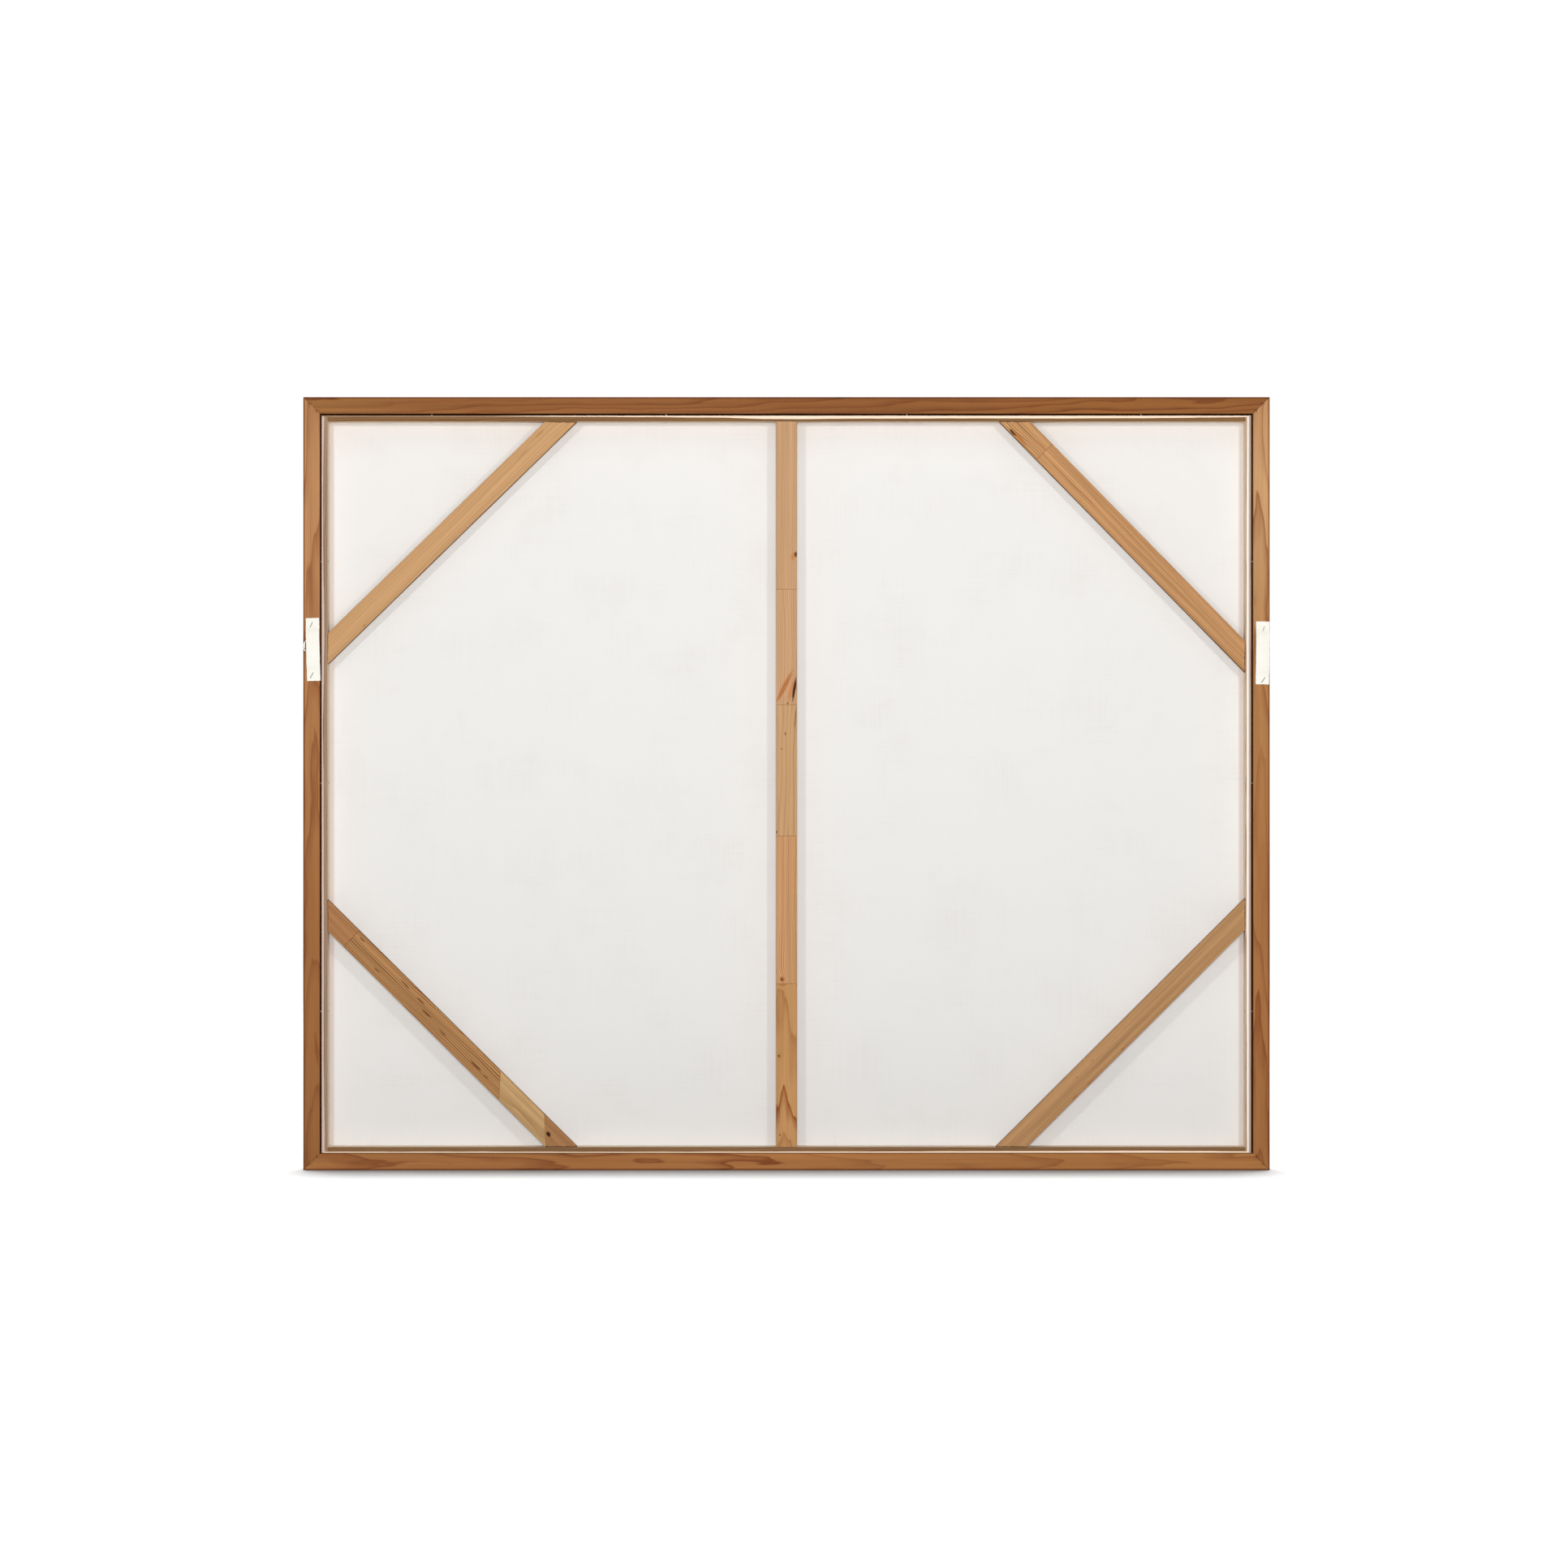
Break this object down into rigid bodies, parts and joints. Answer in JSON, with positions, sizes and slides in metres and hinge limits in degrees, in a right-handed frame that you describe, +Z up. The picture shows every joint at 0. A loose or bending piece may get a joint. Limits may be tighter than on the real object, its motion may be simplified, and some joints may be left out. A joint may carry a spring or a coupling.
{
  "type": "framed stretched canvas",
  "caption": "Large canvas stretched on a thin pine strainer with an upright and corner braces, held in a mitred stained-pine frame with D-ring hangers under stapled cloth strips.",
  "frame": {"origin": "middle of the frame's bottom face", "axes": "+Z up, +Y towards the painted front, -Y towards the wall, +X to the right as seen from behind"},
  "size_m": [1.524, 0.0511, 1.219],
  "materials": {
    "stained_pine": "brown stain, satin",
    "raw_pine_strip": "planed, unfinished",
    "raw_pine_brace": "planed, unfinished",
    "primed_canvas": "plain weave, primed white on the front",
    "canvas_offcut": "plain weave, primed",
    "dark_steel": "blued spring steel",
    "staple_wire": "galvanised wire",
    "bright_steel": "bright drawn wire",
    "zinc_steel": "zinc plated"
  },
  "bodies": {
    "framed_canvas": {"frame_rail_top": "stained_pine", "frame_rail_bottom": "stained_pine", "frame_rail_left": "stained_pine", "frame_rail_right": "stained_pine", "frame_v_nails": "dark_steel", "strainer_rail_top": "raw_pine_strip", "strainer_rail_bottom": "raw_pine_strip", "strainer_rail_left": "raw_pine_strip", "strainer_rail_right": "raw_pine_strip", "strainer_corner_nails": "bright_steel", "center_brace": "raw_pine_brace", "corner_brace_top_left": "raw_pine_brace", "corner_brace_top_right": "raw_pine_brace", "corner_brace_bottom_left": "raw_pine_brace", "corner_brace_bottom_right": "raw_pine_brace", "brace_nails": "bright_steel", "canvas": "primed_canvas", "canvas_staples": "staple_wire", "fixing_pins": "bright_steel", "hanger_strap_left": "zinc_steel", "hanger_strap_right": "zinc_steel", "hanger_screws": "zinc_steel", "cover_strip_left": "canvas_offcut", "cover_strip_right": "canvas_offcut", "cover_strip_staples": "staple_wire"},
    "ring_left": {"d_ring_left": "zinc_steel"},
    "ring_right": {"d_ring_right": "zinc_steel"}
  },
  "joints": [
    {"name": "d_ring_left_swing", "type": "hinge", "parent": "framed_canvas", "child": "ring_left", "pos_m": [-0.7503, -0.02448, 0.819], "axis": [1, 0, 0], "range_deg": [0, 5]},
    {"name": "d_ring_right_swing", "type": "hinge", "parent": "framed_canvas", "child": "ring_right", "pos_m": [0.7503, -0.02448, 0.819], "axis": [1, 0, 0], "range_deg": [0, 5]}
  ]
}
